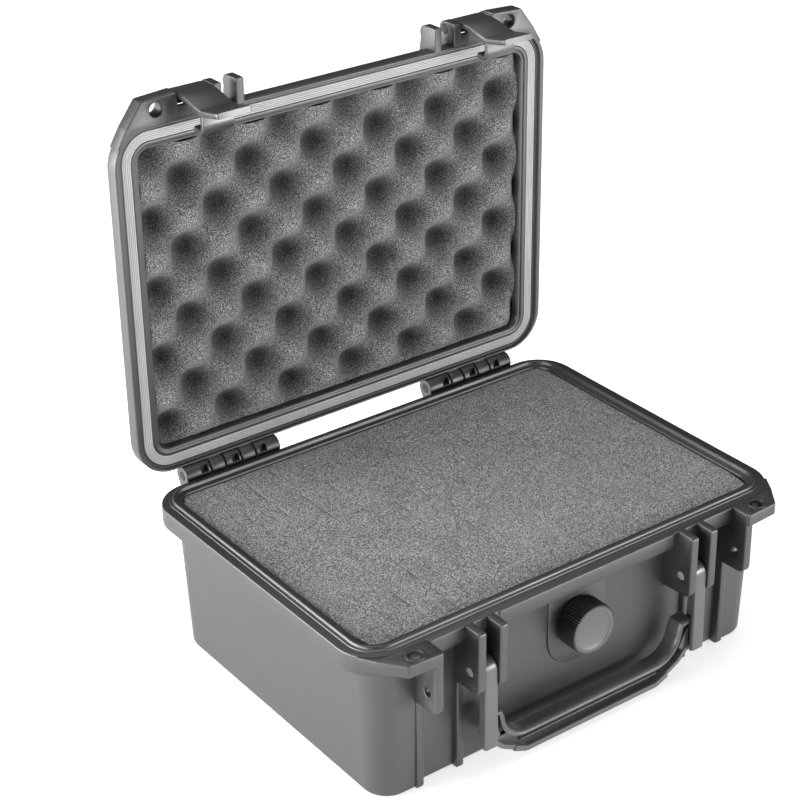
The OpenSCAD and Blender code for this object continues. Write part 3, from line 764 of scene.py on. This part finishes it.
def build_foam():
    pitch = 15.0
    hx, hy = pluck_hi[0], pluck_hi[1]
    xs, ys = lines(hx, pitch, 0.3, 6), lines(hy, pitch, 0.3, 6)

    def scored(x, y):
        near = min(abs(x / pitch - round(x / pitch)), abs(y / pitch - round(y / pitch))) * pitch
        broken = noise.noise(Vector((x * 0.11, y * 0.11, 3.0)))
        wave = 0.12 * noise.noise(Vector((x * 0.03, y * 0.03, 0.5)))
        groove = 0.2 if near < 0.05 and broken > 0.12 else 0.0
        edge = min(hx - abs(x), hy - abs(y))
        ease = 0.5 * (1 - min(edge, 1.0)) ** 2
        return pluck_hi[2] - groove - 0.12 + wave - ease

    obj = foam_block("base_foam_block", xs, ys, hx, hy, CAVITY_R, scored, pluck_lo[2], 2.6,
                     "base", FOAM_BASE, same, 1.0)
    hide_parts("base_foam_pluck")
    hx, hy = pad_hi[0], pad_hi[1]
    xs, ys = lines(hx, 20.0, 0.5, 3), lines(hy, 20.0, 0.5, 3)
    obj = foam_block("base_foam_mat", xs, ys, hx, hy, CAVITY_R,
                     lambda x, y: pad_hi[2] - 0.1 + 0.08 * noise.noise(
                         Vector((x * 0.05, y * 0.05, 7.0))),
                     pad_lo[2], 1.5, "base", FOAM_BASE, same, 0.8)
    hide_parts("base_foam_pad")
    # convoluted pad in the lid, drawn shut: its face looks down
    face = HINGE_Z + lid_foam_lo[1] - HINGE_Y
    back = HINGE_Z + lid_foam_hi[1] - HINGE_Y
    hx, hy = lid_foam_hi[0], (lid_foam_hi[2] - lid_foam_lo[2]) / 2
    steps_x, steps_y = 170, 118
    xs = [-hx + 2 * hx * i / steps_x for i in range(steps_x + 1)]
    ys = [-hy + 2 * hy * i / steps_y for i in range(steps_y + 1)]
    period_x, period_y, depth = 35.0, 33.4, 15.0
    pit_x, pit_y = -10.8, HINGE_Z + HINGE_Y - 218.8

    def convoluted(x, y):
        wave = math.cos(2 * math.pi * (x - pit_x) / period_x)
        wave *= math.cos(2 * math.pi * (y - pit_y) / period_y)
        rough = 0.35 * noise.noise(Vector((x * 0.35, y * 0.35, 1.0)))
        edge = min(hx - abs(x), hy - abs(y))
        border = 0.75 + 0.25 * min(edge / 9, 1.0)
        return face + 0.4 + depth * border * ((1 + wave) / 2) ** 1.35 + rough

    obj = foam_block("lid_foam_convoluted", xs, ys, hx, hy, LID_R, convoluted, back, 2.9,
                     "lid", FOAM_LID, to_open, 0.6)
    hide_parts("lid_foam")


# ---- latches ----

def band(points, t):
    """Outline of a strip of thickness t along a line of points."""
    left, right = [], []
    for i, p in enumerate(points):
        a, b = Vector(points[max(i - 1, 0)]), Vector(points[min(i + 1, len(points) - 1)])
        d = (b - a).normalized()
        n = Vector((-d.y, d.x)) * t / 2
        left.append((p[0] + n.x, p[1] + n.y))
        right.append((p[0] - n.x, p[1] - n.y))
    return left + right[::-1]


def smooth_line(points, n=5):
    """Catmull-Rom line through the points."""
    out = []
    for i in range(len(points) - 1):
        p0, p1 = Vector(points[max(i - 1, 0)]), Vector(points[i])
        p2, p3 = Vector(points[i + 1]), Vector(points[min(i + 2, len(points) - 1)])
        for k in range(n):
            t = k / n
            out.append(tuple(0.5 * (2 * p1 + (p2 - p0) * t + (2 * p0 - 5 * p1 + 4 * p2 - p3) * t * t
                                    + (3 * p1 - p0 - 3 * p2 + p3) * t ** 3)))
    return out + [tuple(points[-1])]


def build_latches():
    face = PLATE_FACE
    hook_z = FLANGE_Z - 0.4
    plate = smooth_line([(-face + 0.6, LATCH_Z + 2.2), (-face, LATCH_Z - 1), (-face, BASE_H - 3),
                         (-face + 2, BASE_H - 13), (-face + 2.6, BASE_H - 17),
                         (-face + 2, BASE_H - 21), (-face + 0.2, BASE_H - 30.5)])
    hook = [(-face + 2.5, BASE_H - 16.5)] + arc(-FLANGE_FRONT - 0.4, hook_z - 2.6, 4, 250, 330, 8)
    hook += [(-FLANGE_FRONT + 2.3, hook_z)]
    bore = circle(-LATCH_Y, LATCH_Z, BORE_R, 28)
    for side in (-1, 1):
        name = "latch_right" if side > 0 else "latch_left"
        low, high = box_mm(name)
        x0, x1 = low[0], high[0]
        parts = Parts()
        parts.add(prism(circle(-LATCH_Y, LATCH_Z, 3.5, 40), x0, x1, along_x, 0.5, [bore]))
        parts.add(prism(band(plate, PLATE_T), x0, x1, along_x, 0.7))
        parts.add(prism(band(hook, 2.2), x0 + 0.6, x1 - 0.6, along_x, 0.5))
        for x in (x0 + 1.0, x1 - 3.0):
            cheek = [(-face + 1, BASE_H - 4), (-face + 3.2, BASE_H - 7), (-face + 5, BASE_H - 15),
                     (-face + 3, BASE_H - 20)]
            parts.add(prism(fillet(cheek, 0.6, 3), x, x + 2, along_x, 0.4))
        obj = parts.make(name + "_arm", name, "latch_plastic", LATCH, place=to_open)
        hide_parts(name)


# ---- handle ----

def build_handle():
    arm_x0, arm_t = EAR_X[2] + EAR_T + 0.4, 6.5
    arm_front, front = PIVOT_Y + 6, PIVOT_Y + 3.2
    rear = front - 9
    strip_z = 14.2
    opening, corner = EAR_X[2] - 0.5, 14
    keel_z, keel_t = 4.4, 2.8
    keel_half = arm_x0 - 18.6
    keel_tip = keel_half + 6.5
    parts = Parts()
    bar_back = -arm_front + 2.6
    arm = [(-PIVOT_Y - 5, PIVOT_Z), (-arm_front, strip_z + 10), (-arm_front, strip_z + 2),
           (bar_back, strip_z + 0.6), (bar_back, PIVOT_Z - 12), (-PIVOT_Y + 4.6, PIVOT_Z - 2.4)]
    arm = fillet(arm, [0, 3, 0.8, 0.8, 4, 0], 5)
    arm += arc(-PIVOT_Y, PIVOT_Z, 5, -28, 180, 24)
    parts.both(prism(arm, arm_x0, arm_x0 + arm_t, along_x, 0.7,
                     [circle(-PIVOT_Y, PIVOT_Z, BORE_R, 28)]))
    core = [(bar_back - 0.6, strip_z + 1), (bar_back + 5.4, strip_z + 4),
            (bar_back + 4.6, PIVOT_Z - 14), (bar_back - 0.6, PIVOT_Z - 8)]
    parts.both(prism(core, arm_x0 + 2, arm_x0 + 4.4, along_x, 0.4))
    # grip: a crowned strip with rolled edges, curved up to a tab at each arm
    mid = (front + rear) / 2
    half = (front - rear) / 2
    section = []
    for i in range(17):
        u = -1 + 2 * i / 16
        section.append((-mid + half * u, 0.3 + 1.5 * math.sqrt(max(0.0, 1 - abs(u) ** 3.2))))
    section += [(-mid + half - 0.25, -0.6), (-mid + half - 0.6, -1.1), (-mid - half + 0.6, -1.1),
                (-mid - half + 0.25, -0.6)]
    path = [(arm_x0 + 1, strip_z + 16.4), (opening + 1.2, strip_z + 15.6)]
    turn = arc(opening - corner, strip_z + corner - 1, corner, -4, -86, 14)
    right = path + turn
    line = [(-x, z) for x, z in right]
    line += [(x, strip_z - 1) for x in (-30, -20, -10, 0, 10, 20, 30)]
    line += right[::-1]
    parts.add(sweep(line, section))
    # keel with bent ends, and the soles that join it to the arms
    flat = [(-mid - half, -1.4), (-mid - half, 1.4),
            (-mid + half + 1, 1.4), (-mid + half + 1, -1.4)]
    bar = fillet(flat, 0.5, 3)
    keel = [(-keel_tip, keel_z + keel_t), (-keel_half - 0.4, keel_z + 0.2),
            (-keel_half + 0.4, keel_z), (keel_half - 0.4, keel_z),
            (keel_half + 0.4, keel_z + 0.2), (keel_tip, keel_z + keel_t)]
    parts.add(sweep(keel, bar))
    thin = fillet([(-mid - half + 0.5, -1.1), (-mid - half + 0.5, 1.1), (-mid + half, 1.1),
                   (-mid + half, -1.1)], 0.45, 3)
    sole = smooth_line([(arm_x0 + 1, strip_z + 4), (arm_x0 - 3, strip_z - 0.6),
                        (arm_x0 - 6, strip_z - 3.4), (keel_tip - 1, keel_z + keel_t)], 4)
    parts.both(sweep(sole, thin))
    # upright web, with an opening in each lower corner
    inner = opening - corner
    outline = [(-arm_x0 - 1, strip_z + 4), (-arm_x0 + 6, strip_z - 3.4),
               (-keel_tip, keel_z + keel_t), (-keel_half, keel_z), (keel_half, keel_z),
               (keel_tip, keel_z + keel_t), (arm_x0 - 6, strip_z - 3.4),
               (arm_x0 + 1, strip_z + 4), (arm_x0 + 1, strip_z + 14), (opening, strip_z + 12),
               (opening - 6, strip_z + 3), (inner, strip_z - 1), (-inner, strip_z - 1),
               (-opening + 6, strip_z + 3), (-opening, strip_z + 12), (-arm_x0 - 1, strip_z + 14)]
    hole_a = [(opening - 2, strip_z + 6.5), (arm_x0 - 1.0, strip_z + 2.6),
              (arm_x0 - 5, strip_z - 1.0), (opening - 6.5, strip_z - 0.2)]
    holes = [fillet(hole_a, 0.8, 3), fillet([(-x, z) for x, z in hole_a], 0.8, 3)]
    parts.add(prism(outline, -front + 4.5, -front + 7, along_y, 0.3, holes))
    # ledge half way up the channel, and a gusset beside each arm
    parts.add(prism([(-keel_half - 2, keel_z + 3.6), (keel_half + 2, keel_z + 3.6),
                     (keel_half + 2, keel_z + 4.4), (-keel_half - 2, keel_z + 4.4)],
                    -front + 2.6, -front + 5, along_y, 0.2))
    gusset = [(arm_x0 + 1, strip_z + 13), (arm_x0 - 2.4, strip_z + 8.6),
              (arm_x0 - 4.6, strip_z + 3.4),
              (arm_x0 - 1.5, strip_z + 0.8), (arm_x0 + 1, strip_z + 3)]
    parts.both(prism(fillet(gusset, 0.5, 3), -front + 1.2, -front + 5, along_y, 0.4))
    obj = parts.make("handle_grip", "handle", "case_plastic", HANDLE)
    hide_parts("handle")


# ---- valve knob ----

def build_knob():
    teeth, r = 60, (knob_hi[0] - knob_lo[0]) / 2
    front, back = knob_lo[1], PAD_Y - 0.15
    count = teeth * 6
    wave = [0.0, 0.3, 0.66, 1.0, 0.66, 0.3]

    def circle_ring(radius, y, tooth):
        return [((radius - tooth * wave[i % 6]) * math.cos(2 * math.pi * i / count), y,
                 VALVE_Z + (radius - tooth * wave[i % 6]) * math.sin(2 * math.pi * i / count))
                for i in range(count)]

    rings = [circle_ring(9.4, back, 0), circle_ring(r - 1.2, back, 0),
             circle_ring(r - 0.5, back - 0.5, 0.7), circle_ring(r, back - 1.2, 1.7),
             circle_ring(r, front + 0.1, 1.7), circle_ring(r - 0.05, front, 1.7),
             circle_ring(r - 1.85, front, 0), circle_ring(r - 2.3, front, 0),
             circle_ring(r - 2.6, front + 0.25, 0),
             circle_ring(r - 3.4, front + 0.5, 0), circle_ring(r - 5.5, front + 0.85, 0),
             circle_ring(r - 8.5, front + 1.1, 0), circle_ring(r - 11, front + 1.2, 0),
             circle_ring(0.4, front + 1.2, 0)]
    verts, faces = skin(rings)
    obj = make("purge_knob_cap", verts, faces, "knob", "knob_plastic", KNOB, angle=24)
    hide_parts("purge_knob")


# ---- CAD nodes that stay ----

def finish_cad_nodes():
    for name, obj in frame["nodes"].items():
        if name.startswith(("hinge_pin", "latch_pin")):
            material = DARK_STEEL
        elif "pin" in name:
            material = STEEL
        elif name in ("purge_bush", "purge_nut"):
            material = BRASS
        elif name in ("purge_seal", "knob_seal"):
            material = SEAL
        else:
            continue
        obj.data.materials.clear()
        obj.data.materials.append(material)


# ---- stage, light and camera ----

def build_stage():
    size = 9.0
    mesh = bpy.data.meshes.new("floor")
    n = 40
    verts = [(-size + 2 * size * i / n, -size + 2 * size * j / n, -0.0002)
             for j in range(n + 1) for i in range(n + 1)]
    faces = [(j * (n + 1) + i, j * (n + 1) + i + 1, (j + 1) * (n + 1) + i + 1,
              (j + 1) * (n + 1) + i) for j in range(n) for i in range(n)]
    mesh.from_pydata(verts, [], faces)
    material, tree, shader = nodes_of("floor_paper")
    tone = add_noise(tree, 3.0, 2.0)
    tree.links.new(ramp(tree, tone.outputs["Fac"], [(0.3, 0.9), (0.7, 0.92)]),
                   shader.inputs["Base Color"])
    shader.inputs["Roughness"].default_value = 0.9
    shader.inputs["Specular IOR Level"].default_value = 0.1
    shader.inputs["Emission Color"].default_value = (1, 1, 1, 1)
    shader.inputs["Emission Strength"].default_value = 0.6
    mesh.materials.append(material)
    floor = bpy.data.objects.new("floor", mesh)
    bpy.context.scene.collection.objects.link(floor)


def area_light(name, place, target, size, power):
    data = bpy.data.lights.new(name, "AREA")
    data.shape = "RECTANGLE"
    data.size, data.size_y = size
    data.energy = power
    light = bpy.data.objects.new(name, data)
    light.location = place
    aim = Vector(target) - Vector(place)
    light.rotation_euler = aim.to_track_quat("-Z", "Y").to_euler()
    bpy.context.scene.collection.objects.link(light)


def build_lights():
    world = bpy.data.worlds.new("studio")
    bpy.context.scene.world = world
    world.use_nodes = True
    background = world.node_tree.nodes["Background"]
    background.inputs["Color"].default_value = (0.97, 0.98, 1.0, 1)
    background.inputs["Strength"].default_value = 0.06
    area_light("left_rear", (-1.3, 0.6, 0.35), (-0.1, 0, 0.06), (1.1, 0.8), 44)
    area_light("left_low", (-1.5, -0.3, 0.15), (-0.1, 0, 0.06), (1.0, 0.5), 20)
    area_light("front_low", (0.8, -1.3, 0.2), (0, 0, 0.06), (0.9, 0.4), 22)
    area_light("top", (0.1, 0.2, 1.5), (0, 0, 0.1), (1.4, 1.4), 13)


def build_camera():
    data = bpy.data.cameras.new("camera")
    data.sensor_width = 36.0
    data.lens = 92.42
    camera = bpy.data.objects.new("camera", data)
    bpy.context.scene.collection.objects.link(camera)
    forward = Vector((0.52155, 0.71138, -0.47109)).normalized()
    right = Vector((0.80225, -0.59685, -0.01310)).normalized()
    up = right.cross(forward).normalized()
    camera.matrix_world = Matrix((
        (right.x, up.x, -forward.x, -0.49805),
        (right.y, up.y, -forward.y, -0.63067),
        (right.z, up.z, -forward.z, 0.55254),
        (0, 0, 0, 1)))
    bpy.context.scene.camera = camera


build_camera()
bpy.context.scene.view_settings.view_transform = "Standard"
build_base()
build_base_front()
build_hinges()
build_lid()
build_lid_front()
build_gasket()
build_foam()
build_latches()
build_handle()
build_knob()
finish_cad_nodes()
build_stage()
build_lights()
